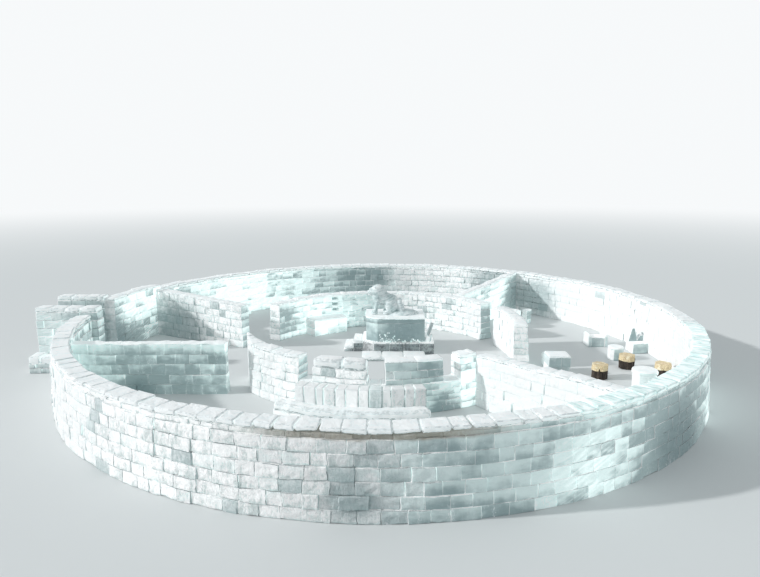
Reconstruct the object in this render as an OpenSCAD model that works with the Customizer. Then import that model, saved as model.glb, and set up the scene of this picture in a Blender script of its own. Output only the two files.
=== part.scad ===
// Round open-topped ice house: an outer wall of ice blocks with a walled
// doorway, four straight partitions, a round inner court with stepped seats,
// a guardian figure on a plinth, and furniture cut from ice.
// Millimetres, +Z up, standing on the ground. +X is to the right, +Y to the
// back, and the doorway faces -X. The modules are written about the centre of
// the round walls, and placed() then puts the origin under the middle of the
// whole. Angles are degrees from +X, turning towards +Y.

/* [Outer wall] */
// Radius of the outer wall's inner face
ring_in_r = 9750; // [8500:50:12000]
// Thickness of the outer wall at its foot
ring_foot_t = 550; // [460:10:800]
// Thickness of the outer wall at its top
ring_top_t = 450; // [300:10:540]
// Height of the outer wall
ring_h = 1900; // [1700:10:2600]
// How much higher the outer wall is beside the back of the doorway
ring_door_rise = 150; // [10:10:400]
// Angle at which that higher stretch begins
ring_rise_a = 158; // [150:1:168]
// Number of segments in the outer wall, without the high one
ring_segments = 11; // [8:1:16]

/* [Doorway] */
// Clear width of the entrance passage
door_w = 1400; // [900:10:2200]
// Distance of the passage's middle line from the centre, towards the back
door_shift = 150; // [-300:10:300]
// Thickness of the passage's side walls
porch_t = 470; // [250:10:700]
// Height of the passage's side walls
porch_h = 2150; // [1600:10:2800]
// How far the front side wall reaches out from the outer wall
porch_front_out = 1250; // [700:10:3500]
// How far the back side wall reaches out from the outer wall
porch_back_out = 1480; // [700:10:3500]
// How far the front side wall reaches into the house
porch_inset = 270; // [50:10:1200]
// Length of the buttress at the front side wall's outer end
buttress_l = 800; // [400:10:1200]
// Thickness of the buttress
buttress_t = 480; // [200:10:800]
// Height of the buttress
buttress_h = 600; // [300:10:1200]
// How far the buttress reaches beyond the wall's outer end
buttress_over = 120; // [0:10:380]

/* [Partitions] */
// Thickness of the partition at the front of the entrance hall
hall_front_t = 320; // [200:10:500]
// Height of the partition at the front of the entrance hall
hall_front_h = 1570; // [1000:10:1700]
// Distance of its middle line in front of the centre
hall_front_y = 3300; // [3000:20:4500]
// Distance of its inner end to the left of the centre
hall_front_x = 4600; // [4600:20:7000]
// Thickness of the partition at the back of the entrance hall
hall_back_t = 400; // [200:10:500]
// Its height at the inner end
hall_back_h = 1640; // [1000:10:1700]
// Distance from the centre to its inner end
hall_back_r = 5350; // [5300:20:7000]
// Angle of its inner end
hall_back_in_a = 163.1; // [158:0.1:168]
// Angle at which it meets the outer wall
hall_back_out_a = 158.4; // [157:0.1:166]
// Thickness of the partition in the back right room
room_back_t = 330; // [200:10:500]
// Its height at the inner end
room_back_h = 1560; // [1000:10:1700]
// Its angle about the centre
room_back_a = 49.8; // [40:0.1:60]
// Thickness of the partition in the front right room
room_front_t = 360; // [200:10:500]
// Its height at the inner end
room_front_h = 1500; // [1000:10:1700]
// Its angle about the centre
room_front_a = 303.4; // [302:0.1:310]

/* [Inner court] */
// Radius of the court wall's inner face
court_in_r = 4600; // [4000:20:5000]
// Thickness of the court wall at its foot
court_foot_t = 550; // [430:10:600]
// Thickness of the court wall at its top
court_top_t = 420; // [250:10:540]
// Height of the court wall
court_h = 1500; // [1400:10:1800]
// Height of the low front stretch that the parapets stand on
front_base_h = 850; // [600:10:1000]
// Angle of the west opening's front edge
west_front_a = 204; // [200:0.5:210]
// Angle at which the slanting end beside that opening reaches the outer face
west_slant_a = 220; // [214:0.5:232]
// Thickness left at the tip of that slanting end
west_tip_t = 100; // [40:5:200]
// Angle of the west opening's back edge
west_back_a = 149.5; // [145:0.5:160]
// Angle at which the low front stretch begins
front_start_a = 243; // [238:0.5:246]
// Angle of the left parapet's left end
parapet_left_a = 248; // [247:0.5:252]
// Angle of the middle gap's left edge
gap_left_a = 265.8; // [262:0.2:267]
// Angle of the middle gap's right edge
gap_right_a = 271.4; // [270:0.2:275]
// Angle of the right parapet's right end
parapet_right_a = 290; // [286:0.5:291]
// Angle at which the tall front pier begins
pier_start_a = 296; // [293:0.5:297]
// Angle of the pier's right end, where the court opens to the right room
pier_end_a = 303; // [301:0.5:306]
// Angle of the right wall's front end
east_start_a = -13.5; // [-20:0.5:-8]
// Angle of the narrow doorway's right edge
narrow_door_a0 = 21; // [18:0.5:26]
// Angle of the narrow doorway's left edge
narrow_door_a1 = 31; // [29:0.5:36]
// Angle of the joint between the right and the back stretches of the wall
back_joint_a = 70; // [50:1:90]

/* [Seats and steps] */
// Height of the lower step
step_low_h = 400; // [250:10:500]
// Depth of the lower step
step_low_d = 340; // [200:10:600]
// Depth of the upper step
step_high_d = 330; // [200:10:600]
// Angle of the upper step's left end
step_high_left_a = 244.5; // [243:0.5:247]
// Angle of the lower step's left end
step_low_left_a = 239.5; // [236:0.5:242]
// Angle of the steps' right end
steps_right_a = 283; // [278:0.5:288]
// Depth of the bench inside the court
bench_d = 620; // [300:10:900]
// Height of the bench inside the court
bench_h = 680; // [350:10:740]
// Angle of the court bench's right end
bench_a0 = 110.5; // [108:0.5:112]
// Angle of the court bench's left end
bench_a1 = 132; // [124:0.5:145]
// Width of each niche in the court wall
niche_w = 300; // [150:10:450]
// Height of each niche
niche_h = 130; // [60:5:180]
// Depth of each niche
niche_d = 160; // [60:10:250]
// Height step from niche to niche
niche_pitch = 230; // [200:5:260]
// Depth of the top niche's upper edge below the wall's top
niche_drop = 130; // [60:5:200]
// Angle of the niches
niche_a = 114.5; // [114:0.5:122]

/* [Plinth and figure] */
// Width of the plinth
plinth_w = 1720; // [1200:10:2400]
// Depth of the plinth
plinth_d = 1450; // [1000:10:2200]
// Height of the plinth above its base course
plinth_h = 920; // [500:10:1500]
// Height of the plinth's base course
plinth_base_h = 420; // [200:10:700]
// How far the base course stands out
plinth_base_out = 130; // [10:5:300]
// How far the base course stands out on the right
plinth_base_right = 340; // [300:5:450]
// How far the plinth's left flank spreads
plinth_spread = 420; // [0:10:700]
// How far behind the plinth's front face that flank ends
plinth_flank_d = 280; // [100:10:900]
// Place of the plinth's front left corner to the right of the centre
plinth_x = -110; // [-600:10:400]
// Place of the plinth's front face behind the centre
plinth_y = 620; // [200:10:1200]
// Size of the guardian figure, 1 as found
figure_scale = 1; // [0.7:0.05:1.2]
// Place of the guardian figure's paws to the right of the plinth's front left corner
figure_x = -30; // [-60:5:100]
// Place of the guardian figure behind the plinth's front face
figure_y = 700; // [500:10:950]
// Width of the small carving at the plinth's front right corner
carving_w = 240; // [120:10:280]
// Depth of the small carving
carving_d = 300; // [150:10:500]
// Height of the small carving's body
carving_body_h = 430; // [200:10:600]
// Height of the small carving's head
carving_head_h = 300; // [100:10:320]
// Depth of the slab in front of the plinth
apron_d = 780; // [400:10:850]
// Height of the slab in front of the plinth
apron_h = 150; // [80:5:300]
// Width of the stepped block at the plinth's left
side_step_w = 690; // [300:10:900]
// Depth of the stepped block
side_step_d = 1000; // [400:10:1050]

/* [Furniture] */
// Height of the round table
table_h = 700; // [600:10:900]
// Radius of the round table
table_r = 380; // [360:10:520]
// Radius of the round table's foot
table_foot_r = 340; // [150:10:350]
// Thickness of the round table's top
table_top_t = 120; // [40:5:200]
// Height of the stools
stool_h = 480; // [350:10:560]
// Radius of the stools
stool_r = 270; // [150:5:300]
// Height of the seats along the outer wall
wall_seat_h = 430; // [300:10:550]
// Depth of the seats along the outer wall
wall_seat_d = 450; // [300:10:700]
// Height of the block table
block_table_h = 680; // [500:10:850]
// Width of the block table
block_table_w = 700; // [500:10:900]
// Depth of the block table
block_table_d = 620; // [400:10:800]
// Height of the seat behind the block table
block_seat_h = 430; // [300:10:550]
// Height of the serving counter
counter_h = 800; // [700:10:1100]
// Width of the serving counter
counter_w = 1000; // [600:10:1200]
// Depth of the serving counter
counter_d = 420; // [300:10:600]
// Height of the post beside the serving counter
post_h = 640; // [300:10:1000]
// Height of the ice settle's seat
settle_seat_h = 360; // [300:10:450]
// Height of the ice settle's ends
settle_end_h = 480; // [460:10:700]
// Thickness of the ice settle's ends
settle_end_t = 120; // [60:10:200]
// Width of the ice settle
settle_w = 740; // [560:10:900]
// Depth of the ice settle
settle_d = 560; // [400:10:700]
// Height of the ice chair's seat
chair_seat_h = 380; // [300:10:500]
// Height of the ice chair's back
chair_back_h = 860; // [700:10:1100]
// Height of the lower side of the ice chair's back
chair_low_h = 600; // [520:10:680]
// Width of the ice chair
chair_w = 560; // [400:10:700]
// Depth of the ice chair
chair_d = 560; // [400:10:700]
// Thickness of the ice chair's back
chair_back_t = 180; // [80:10:250]
// Distance of the ice chair from the outer wall
chair_gap = 20; // [10:5:100]
// Angle of the ice chair about the centre
chair_a = 4.5; // [2:0.5:7]
// Height of the seat beside the narrow doorway
door_seat_h = 460; // [300:10:600]

/* [Hidden] */
$fn = 96;
// Facets of the large circles, fine enough for their size
smooth = 720;
// Facets of the figure's rounded parts
figure_fn = 16;
fit_gap = 0.3;
// Overshoot of a cutting shape beyond what it cuts
past = 200;
ring_foot_r = ring_in_r + ring_foot_t;
court_foot_r = court_in_r + court_foot_t;
// The walls' batter is a straight slope, so a face at any height follows
ring_slope = (ring_foot_t - ring_top_t) / ring_h;
court_slope = (court_foot_t - court_top_t) / court_h;
ring_door_h = ring_h + ring_door_rise;
door_front_y = door_shift - door_w / 2;
door_back_y = door_shift + door_w / 2;
ring_start_a = 180 + asin((porch_t - door_front_y) / ring_in_r);
ring_rise_turn_a = 360 + ring_rise_a;
ring_end_a = 540 - asin(door_back_y / ring_in_r);
ring_step_a = (ring_rise_turn_a - ring_start_a) / ring_segments;
porch_front_x = ring_foot_r + porch_front_out;
porch_back_x = ring_foot_r + porch_back_out;
step_high_r = court_foot_r + step_high_d;
plinth_top_z = plinth_base_h + plinth_h;
// Furniture stands at a share of the way from the court wall to the outer wall, and an angle
table_spot = [0.75, -22.9];
block_table_spot = [0.19, -15.5];
settle_spot = [0.7, 11];
counter_spot = [0.43, 39.7];
post_spot = [0.66, 38.4];
stool_spots = [[0.477, -17], [0.7, -7.9], [0.906, -12.9]];
ice_stool_spot = [0.685, -1];
// Size of the seat behind the block table, and its place from the table's middle
block_seat = [460, 420];
block_seat_step = [0, 800];
post_side = 260;
// Height of the dip between the two points of the ice chair's back
chair_dip_h = 430;
// Width and depth of the seat beside the narrow doorway, and its place
door_seat = [340, 300];
door_seat_a = 29;
door_seat_gap = 200;
// Spans of the seats along the outer wall, in degrees
wall_seat_spans = [[101, 106.5], [107.5, 111], [112, 117.5], [131, 134]];
// The doorway's walls reach further from the centre than the outer wall does on the far side
centre_x = (max(porch_back_x, porch_front_x + buttress_over) - ring_foot_r) / 2;
wall_ids = [for (i = [0 : ring_segments - 1]) str("outer_wall_", i + 1)];
ICE = [0.80, 0.93, 0.94];
SHADE_ICE = [0.66, 0.85, 0.87];
SNOW = [0.94, 0.96, 0.97];
WOOD = [0.75, 0.62, 0.42];

// Moves a piece so that the origin lies under the middle of the whole
module placed() {
    translate([centre_x, 0, 0])
        children();
}

// Point in the right rooms, by its share of the way across and its angle
function room_spot(spot) =
    (court_foot_r + spot[0] * (ring_in_r - court_foot_r)) * [cos(spot[1]), sin(spot[1]), 0];

// Block that stands on the ground with its middle over the origin
module standing_block(w, d, h) {
    translate([-w / 2, -d / 2, 0])
        cube([w, d, h]);
}

// Curved wall between two angles with an upright inner face and a sloping outer face
module arc_wall(in_r, foot_t, top_t, a0, a1, z0, z1) {
    rotate([0, 0, a0])
        rotate_extrude(angle = a1 - a0, $fn = smooth)
            polygon([[in_r, z0], [in_r + foot_t, z0], [in_r + top_t, z1], [in_r, z1]]);
}

// Straight wall along +X from the origin, with its top sloping from h0 to h1
module straight_wall(length, t, h0, h1) {
    translate([0, t / 2, 0])
        rotate([90, 0, 0])
            linear_extrude(height = t)
                polygon([[0, 0], [length, 0], [length, h1], [0, h0]]);
}

// Space inside the outer wall, which the ends of the partitions are cut to
module inside_ring(h) {
    translate([0, 0, -past])
        cylinder(r = ring_in_r - fit_gap, h = h + 2 * past, $fn = smooth);
}

// Everything within the outer face of the court wall
module court_mass() {
    translate([0, 0, -past])
        cylinder(r = court_foot_r + fit_gap, h = court_h + ring_h, $fn = smooth);
}

// Everything within the sloping outer face of the outer wall
module ring_mass() {
    translate([0, 0, -past])
        cylinder(r1 = ring_foot_r + fit_gap + ring_slope * past, h = porch_h + 2 * past,
                 r2 = ring_foot_r + fit_gap - ring_slope * (porch_h + past), $fn = smooth);
}

module outer_wall_segment(i) {
    color(ICE)
        arc_wall(ring_in_r, ring_foot_t, ring_top_t,
                 ring_start_a + i * ring_step_a, ring_start_a + (i + 1) * ring_step_a, 0, ring_h);
}

module outer_wall_door_side() {
    color(ICE)
        arc_wall(ring_in_r, ring_foot_t, ring_foot_t - ring_slope * ring_door_h,
                 ring_rise_turn_a, ring_end_a, 0, ring_door_h);
}

module porch_wall_front() {
    color(ICE)
        translate([-porch_front_x, door_front_y - porch_t, 0])
            cube([porch_front_x - ring_in_r + porch_inset, porch_t, porch_h]);
}

// The back side wall ends against the sloping face of the outer wall
module porch_wall_back() {
    color(SHADE_ICE)
        difference() {
            translate([-porch_back_x, door_back_y, 0])
                cube([porch_back_x - ring_in_r, porch_t, porch_h]);
            ring_mass();
        }
}

module porch_buttress() {
    color(SNOW)
        translate([-porch_front_x - buttress_over, door_front_y - porch_t - fit_gap - buttress_t, 0])
            cube([buttress_l, buttress_t, buttress_h]);
}

// Partition in line with the passage, from the outer wall to its free inner end
module hall_wall_front() {
    color(SHADE_ICE)
        intersection() {
            translate([-hall_front_x, -hall_front_y, 0])
                rotate([0, 0, 180])
                    straight_wall(ring_in_r - hall_front_x, hall_front_t, hall_front_h, hall_front_h);
            inside_ring(hall_front_h);
        }
}

// Slanting partition that rises towards the outer wall
module hall_wall_back() {
    in_p = hall_back_r * [cos(hall_back_in_a), sin(hall_back_in_a)];
    out_p = (ring_in_r + hall_back_t) * [cos(hall_back_out_a), sin(hall_back_out_a)];
    run = out_p - in_p;
    color(ICE)
        intersection() {
            translate([in_p[0], in_p[1], 0])
                rotate([0, 0, atan2(run[1], run[0])])
                    straight_wall(norm(run), hall_back_t, hall_back_h, ring_h);
            inside_ring(ring_h);
        }
}

// Radial partition from the court wall to the outer wall
module radial_partition(a, t, h) {
    intersection() {
        difference() {
            rotate([0, 0, a])
                translate([court_in_r, 0, 0])
                    straight_wall(ring_in_r - court_in_r, t, h, ring_h);
            court_mass();
        }
        inside_ring(ring_h);
    }
}

module room_wall_back() {
    color(SHADE_ICE)
        radial_partition(room_back_a, room_back_t, room_back_h);
}

module room_wall_front() {
    color(SNOW)
        radial_partition(room_front_a, room_front_t, room_front_h);
}

module court_wall(a0, a1) {
    arc_wall(court_in_r, court_foot_t, court_top_t, a0, a1, 0, court_h);
}

// The west stretch ends beside the opening in a face that slants across the wall
module court_wall_west() {
    tip = (court_in_r + west_tip_t) * [cos(west_front_a), sin(west_front_a)];
    heel = court_foot_r * [cos(west_slant_a), sin(west_slant_a)];
    reach = past * (heel - tip) / norm(heel - tip);
    away = [-court_foot_r, 0];
    color(SNOW)
        difference() {
            court_wall(west_front_a, front_start_a);
            translate([0, 0, -past])
                linear_extrude(height = court_h + 2 * past)
                    polygon([tip, heel + reach, heel + reach + away, tip + away]);
        }
}

module court_front_base() {
    color(ICE)
        arc_wall(court_in_r, court_foot_t, court_foot_t - court_slope * front_base_h,
                 front_start_a, pier_start_a, 0, front_base_h);
}

module parapet(a0, a1) {
    arc_wall(court_in_r, court_foot_t - court_slope * front_base_h, court_top_t,
             a0, a1, front_base_h, court_h);
}

module parapet_left() {
    color(ICE)
        parapet(parapet_left_a, gap_left_a);
}

module parapet_right() {
    color(ICE)
        parapet(gap_right_a, parapet_right_a);
}

module court_pier() {
    color(ICE)
        court_wall(pier_start_a, pier_end_a);
}

module court_wall_east() {
    color(SNOW)
        court_wall(east_start_a, narrow_door_a0);
}

module court_wall_right() {
    color(SNOW)
        court_wall(narrow_door_a1, back_joint_a);
}

module court_wall_back() {
    color(ICE)
        court_wall(back_joint_a, bench_a0);
}

// The left stretch has three niches, one above another, over the bench
module court_wall_left() {
    color(SNOW)
        difference() {
            court_wall(bench_a0, west_back_a);
            for (k = [0 : 2])
                rotate([0, 0, niche_a])
                    translate([court_in_r - past, -niche_w / 2, court_h - niche_drop - niche_h - k * niche_pitch])
                        cube([past + niche_d, niche_w, niche_h]);
        }
}

module court_bench() {
    color(ICE)
        arc_wall(court_in_r - bench_d, bench_d - fit_gap, bench_d - fit_gap, bench_a0, bench_a1, 0, bench_h);
}

// The upper step stands against the sloping face of the court wall's low front
module step_upper() {
    color(SNOW)
        arc_wall(court_foot_r + fit_gap, step_high_d - fit_gap, step_high_d - fit_gap,
                 step_high_left_a, steps_right_a, 0, front_base_h);
}

module step_lower() {
    color(SNOW)
        arc_wall(step_high_r + fit_gap, step_low_d - fit_gap, step_low_d - fit_gap,
                 step_low_left_a, steps_right_a, 0, step_low_h);
}

// Plinth's outline with its slanting left flank, grown by out, and by right_out on the right
module plinth_plan(out, right_out) {
    polygon([[-out, -out], [plinth_w + right_out, -out],
             [plinth_w + right_out, plinth_d + out], [-plinth_spread - out, plinth_d + out],
             [-plinth_spread - out, plinth_flank_d]]);
}

module plinth_base() {
    color(SHADE_ICE)
        translate([plinth_x, plinth_y, 0])
            linear_extrude(height = plinth_base_h)
                plinth_plan(plinth_base_out, plinth_base_right);
}

// Low slab in front of the base course, and a block of two steps at its left
module plinth_steps() {
    side_x = -plinth_spread - plinth_base_out - fit_gap - side_step_w;
    color(SNOW)
        translate([plinth_x, plinth_y, 0]) {
            translate([-plinth_spread - plinth_base_out, -plinth_base_out - fit_gap - apron_d, 0])
                cube([plinth_w + plinth_spread + plinth_base_out, apron_d, apron_h]);
            translate([side_x, plinth_flank_d, 0]) {
                cube([side_step_w, side_step_d, plinth_base_h / 2]);
                translate([side_step_w / 2, 0, 0])
                    cube([side_step_w / 2, side_step_d, plinth_base_h]);
            }
        }
}

module plinth() {
    color(ICE)
        translate([plinth_x, plinth_y, plinth_base_h])
            linear_extrude(height = plinth_h)
                plinth_plan(0, 0);
}

// A ball used as a joint of the figure's body
module lump(p, r) {
    translate(p)
        sphere(r = r, $fn = figure_fn);
}

// One leg as a tapering run from shoulder to paw
module leg(top, foot, top_r, foot_r) {
    hull() {
        lump(top, top_r);
        lump(foot + [0, 0, foot_r * 0.9], foot_r);
        lump(foot + [-60, 0, foot_r * 0.8], foot_r * 0.9);
    }
}

// Seated big cat that looks towards -X, before it is cut level at its feet
module figure_body() {
    hull() {
        lump([220, 0, 690], 240);
        lump([560, 0, 400], 250);
        lump([830, 0, 190], 180);
    }
    hull() {
        lump([60, 0, 880], 210);
        lump([120, 0, 650], 260);
    }
    hull() {
        lump([60, 0, 890], 200);
        lump([-110, 0, 890], 180);
        lump([-225, 0, 800], 105);
    }
    for (side = [-1, 1]) {
        leg([70, side * 130, 500], [-20, side * 150, 0], 120, 70);
        leg([530, side * 150, 320], [330, side * 210, 0], 210, 80);
        lump([-20, side * 150, 1060], 60);
    }
    hull() {
        lump([880, 0, 110], 75);
        lump([990, -120, 60], 55);
    }
}

module guardian_figure() {
    color(SNOW)
        translate([plinth_x + figure_x, plinth_y + figure_y, plinth_top_z])
            scale(figure_scale)
                intersection() {
                    figure_body();
                    translate([-2 * plinth_w, -2 * plinth_w, 0])
                        cube(4 * plinth_w);
                }
}

// Small upright carving on the base course, beside the plinth's front right corner
module corner_carving() {
    head_in = carving_w / 8;
    color(ICE)
        translate([plinth_x + plinth_w + fit_gap, plinth_y, plinth_base_h]) {
            cube([carving_w, carving_d, carving_body_h]);
            translate([head_in, head_in, carving_body_h])
                cube([carving_w - 2 * head_in, carving_d - 4 * head_in, carving_head_h]);
        }
}

module round_table() {
    color(ICE)
        translate(room_spot(table_spot)) {
            cylinder(r = table_foot_r, h = table_h - table_top_t);
            translate([0, 0, table_h - table_top_t])
                cylinder(r = table_r, h = table_top_t);
        }
}

module stools() {
    color(WOOD)
        for (spot = stool_spots)
            translate(room_spot(spot))
                cylinder(r = stool_r, h = stool_h);
}

module ice_stool() {
    color(SNOW)
        translate(room_spot(ice_stool_spot))
            cylinder(r = stool_r, h = stool_h);
}

// Low settle with an upright block at each end
module ice_settle() {
    standing_block(settle_w, settle_d, settle_seat_h);
    for (side = [-1, 1])
        translate([side * (settle_w - settle_end_t) / 2, 0, 0])
            standing_block(settle_end_t, settle_d, settle_end_h);
}

// Chair whose back has one high and one low point, drawn from its inner front corner
module ice_chair() {
    cube([chair_w, chair_d, chair_seat_h]);
    translate([0, chair_d, 0])
        rotate([90, 0, 0])
            linear_extrude(height = chair_back_t)
                polygon([[0, 0], [chair_w, 0], [chair_w, chair_low_h], [chair_w * 0.8, chair_low_h],
                         [chair_w * 0.6, chair_dip_h], [chair_w * 0.4, chair_back_h],
                         [chair_w * 0.2, chair_back_h], [0, chair_seat_h]]);
}

// The settle stands free, and the chair beside the outer wall's inner face
module ice_chairs() {
    color(SHADE_ICE) {
        translate(room_spot(settle_spot))
            ice_settle();
        rotate([0, 0, chair_a])
            translate([ring_in_r - chair_gap - chair_w, -chair_d / 2, 0])
                ice_chair();
    }
}

// Table cut from one block, with a lower seat behind it
module block_table() {
    color(SHADE_ICE)
        translate(room_spot(block_table_spot)) {
            standing_block(block_table_w, block_table_d, block_table_h);
            translate(block_seat_step)
                standing_block(block_seat[0], block_seat[1], block_seat_h);
        }
}

module serving_counter() {
    color(SHADE_ICE) {
        translate(room_spot(counter_spot))
            rotate([0, 0, counter_spot[1]])
                standing_block(counter_d, counter_w, counter_h);
        translate(room_spot(post_spot))
            rotate([0, 0, post_spot[1]])
                standing_block(post_side, post_side, post_h);
    }
}

// Seats stand against the outer wall's inner face
module wall_seats() {
    color(SHADE_ICE)
        for (span = wall_seat_spans)
            arc_wall(ring_in_r - fit_gap - wall_seat_d, wall_seat_d, wall_seat_d,
                     span[0], span[1], 0, wall_seat_h);
}

module doorway_seat() {
    color(SHADE_ICE)
        rotate([0, 0, door_seat_a])
            translate([court_foot_r + door_seat_gap + door_seat[0] / 2, 0, 0])
                standing_block(door_seat[0], door_seat[1], door_seat_h);
}

for (i = [0 : ring_segments - 1])
    placed() outer_wall_segment(i);
placed() outer_wall_door_side();
placed() porch_wall_front();
placed() porch_wall_back();
placed() porch_buttress();
placed() hall_wall_front();
placed() hall_wall_back();
placed() room_wall_back();
placed() room_wall_front();
placed() court_wall_west();
placed() court_front_base();
placed() parapet_left();
placed() parapet_right();
placed() court_pier();
placed() court_wall_east();
placed() court_wall_right();
placed() court_wall_back();
placed() court_wall_left();
placed() court_bench();
placed() step_upper();
placed() step_lower();
placed() plinth_base();
placed() plinth_steps();
placed() plinth();
placed() guardian_figure();
placed() corner_carving();
placed() round_table();
placed() stools();
placed() ice_stool();
placed() ice_chairs();
placed() block_table();
placed() serving_counter();
placed() wall_seats();
placed() doorway_seat();
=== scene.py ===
"""Looks of a round, open-topped igloo of ice blocks.

The walls are laid block by block in the places of the frame's wall nodes. Metres, +Z up.
Angles are degrees about the middle of the round walls, from +X towards +Y.
"""
import random
from math import asin, cos, degrees, pi, radians, sin, tan

import bmesh
import bpy
from mathutils import Matrix, Vector, noise


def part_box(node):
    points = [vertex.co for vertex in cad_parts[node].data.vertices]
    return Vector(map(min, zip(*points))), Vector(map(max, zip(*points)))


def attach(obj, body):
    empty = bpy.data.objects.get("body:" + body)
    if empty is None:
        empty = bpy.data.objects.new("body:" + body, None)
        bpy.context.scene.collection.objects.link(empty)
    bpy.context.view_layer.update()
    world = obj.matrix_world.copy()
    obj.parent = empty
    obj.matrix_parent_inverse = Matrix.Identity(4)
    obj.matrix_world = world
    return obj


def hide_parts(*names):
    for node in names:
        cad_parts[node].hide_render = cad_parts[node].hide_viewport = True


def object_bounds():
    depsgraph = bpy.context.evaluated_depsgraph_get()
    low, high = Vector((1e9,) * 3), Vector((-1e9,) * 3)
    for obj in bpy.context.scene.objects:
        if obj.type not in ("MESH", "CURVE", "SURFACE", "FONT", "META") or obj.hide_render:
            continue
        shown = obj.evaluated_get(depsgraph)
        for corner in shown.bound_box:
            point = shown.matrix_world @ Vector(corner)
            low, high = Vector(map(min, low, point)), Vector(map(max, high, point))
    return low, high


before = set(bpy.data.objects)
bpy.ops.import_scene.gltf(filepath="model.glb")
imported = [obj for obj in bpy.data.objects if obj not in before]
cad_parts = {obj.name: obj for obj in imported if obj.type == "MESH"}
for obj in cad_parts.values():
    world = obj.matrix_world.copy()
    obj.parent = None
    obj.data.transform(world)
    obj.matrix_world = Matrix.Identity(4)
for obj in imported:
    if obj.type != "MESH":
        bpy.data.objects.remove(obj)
cad_low, cad_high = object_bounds()
noise.seed_set(1)
scene = bpy.context.scene


def top_of(node):
    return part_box(node)[1].z


def level(angle):
    return Vector((cos(radians(angle)), sin(radians(angle)), 0))


# Ring wall, and the entrance passage that it starts and ends at
RING_OUT_R = cad_high.y
RING_IN_R = 9.75
RING_TOP_T = 0.45
RING_H = top_of("outer_wall_1")
RING_DOOR_H = top_of("outer_wall_door_side")
RING_RISE_A = 518
SEGMENTS = 11
CENTRE = Vector((cad_high.x - RING_OUT_R, 0, 0))
PORCH_H = top_of("porch_wall_front")
PASSAGE_FRONT_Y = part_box("porch_wall_front")[1].y
PASSAGE_BACK_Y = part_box("porch_wall_back")[0].y
PORCH_T = PASSAGE_FRONT_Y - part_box("porch_wall_front")[0].y
RING_START_A = 180 + degrees(asin((PORCH_T - PASSAGE_FRONT_Y) / RING_IN_R))
RING_END_A = 540 - degrees(asin(PASSAGE_BACK_Y / RING_IN_R))

# Ring's sunlit segments with hewn blocks, and where its caps are bare of snow
HEWN_SEGMENTS = (1, 2, 3, 8, 9)
BARE_START_A = 283
BARE_END_A = 352
BARE_FADE_A = 14

# Court wall, with the angles at which its stretches begin and end
COURT_IN_R = 4.6
COURT_FOOT_T = 0.55
COURT_TOP_T = 0.42
COURT_FOOT_R = COURT_IN_R + COURT_FOOT_T
COURT_H = top_of("court_pier")
FRONT_BASE_H = top_of("court_front_base")
WEST_A = 204
FRONT_A = 243
PARAPET_LEFT_A = (248, 265.8)
PARAPET_RIGHT_A = (271.4, 290)
PIER_A = (296, 303)
EAST_A = (-13.5, 21)
RIGHT_A = (31, 70)
BENCH_A = (110.5, 132)
WEST_BACK_A = 149.5
WEST_TIP_R = COURT_IN_R + 0.1
WEST_SLANT_A = 220

# Niches over the bench
NICHE_A = 114.5
NICHE_W = 0.30
NICHE_H = 0.13
NICHE_D = 0.16
NICHE_TOP = 1.37
NICHE_PITCH = 0.23

# Bench and steps along the court wall
BENCH_D = 0.62
UPPER_STEP_A = (244.5, 283)
UPPER_STEP_D = 0.33
LOWER_STEP_A = (239.5, 283)
LOWER_STEP_D = 0.34

# Plinth, with its front left corner's place and its outline's step
PLINTH_LOW, PLINTH_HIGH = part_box("plinth")
BASE_LOW, BASE_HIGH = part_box("plinth_base")
PLINTH_CORNER_X = CENTRE.x - 0.11
PLINTH_FLANK_D = 0.28
BASE_JOINTS_X = (-0.25, 0.33, 0.85, 1.42)
BASE_JOINTS_Y = (1.1, 1.65)
COPING_H = 0.15
SLAB_H = 0.06
CHIPS = 90

# Seats
STOOL_SPOTS = ((7.344, -17), (8.37, -7.9), (9.318, -12.9))
ICE_STOOL_SPOT = (8.301, -1)
STOOL_H = top_of("stools")
SETTLE_AT = (8.37, 11)
SETTLE_W = 0.74
SETTLE_D = 0.56
SETTLE_SEAT_H = 0.36
SETTLE_END_H = 0.48
SETTLE_END_T = 0.12
SCROLL_R = 0.07
CHAIR_A = 4.5
CHAIR_R = RING_IN_R - 0.02
CHAIR_W = CHAIR_D = 0.56
CHAIR_SEAT_H = 0.38
CHAIR_BACK_T = 0.18
TABLE_AT = (6.024, -15.5)
COUNTER_AT = (7.128, 39.7)
POST_AT = (8.186, 38.4)
DOORWAY_SEAT_AT = (COURT_FOOT_R + 0.37, 29)
WALL_SEAT_D = 0.45
WALL_SEATS_A = ((101, 106.5), (107.5, 111), (112, 117.5), (131, 134))

# Blocks, the set-back course under the ring's caps, and the snow on top
JOINT = 0.002
BEVEL = 0.006
WORN_BEVEL = 0.012
JUT = 0.02
SHORTEST = 0.35
RING_BLOCK_W = 0.44
COLLAR_H = 0.13
COLLAR_SUNK = 0.032
SNOW_H = 0.10
ICE, SNOW = 0, 1
SAWN, BARK = 0, 1
NICHE_SHADE_MARK = 2.0
HEWN = {"worn": WORN_BEVEL, "rugged": True}
SMOOTH = {"jut": 0.008}

# Depth and fineness of the relief on hewn and plain blocks, slabs of snow and long drifts
HEWN_RELIEF = (0.019, 10.0)
PLAIN_RELIEF = (0.008, 7.0)
SLAB_RELIEF = (0.014, 8.0)
DRIFT_RELIEF = (0.042, 3.8)

# Camera, as fitted to the photograph
CAMERA_AT = Vector((CENTRE.x, -20.55, 6.5))
CAMERA_PITCH = 10.9
CAMERA_ROLL = 0.2
FOCAL_PIXELS = 600
PHOTO_W = 760
SENSOR_W = 36

# Light
SUN_ELEVATION = 25
SUN_FLAT = level(186)
FLOOR_FADE = (22, 110)


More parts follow.
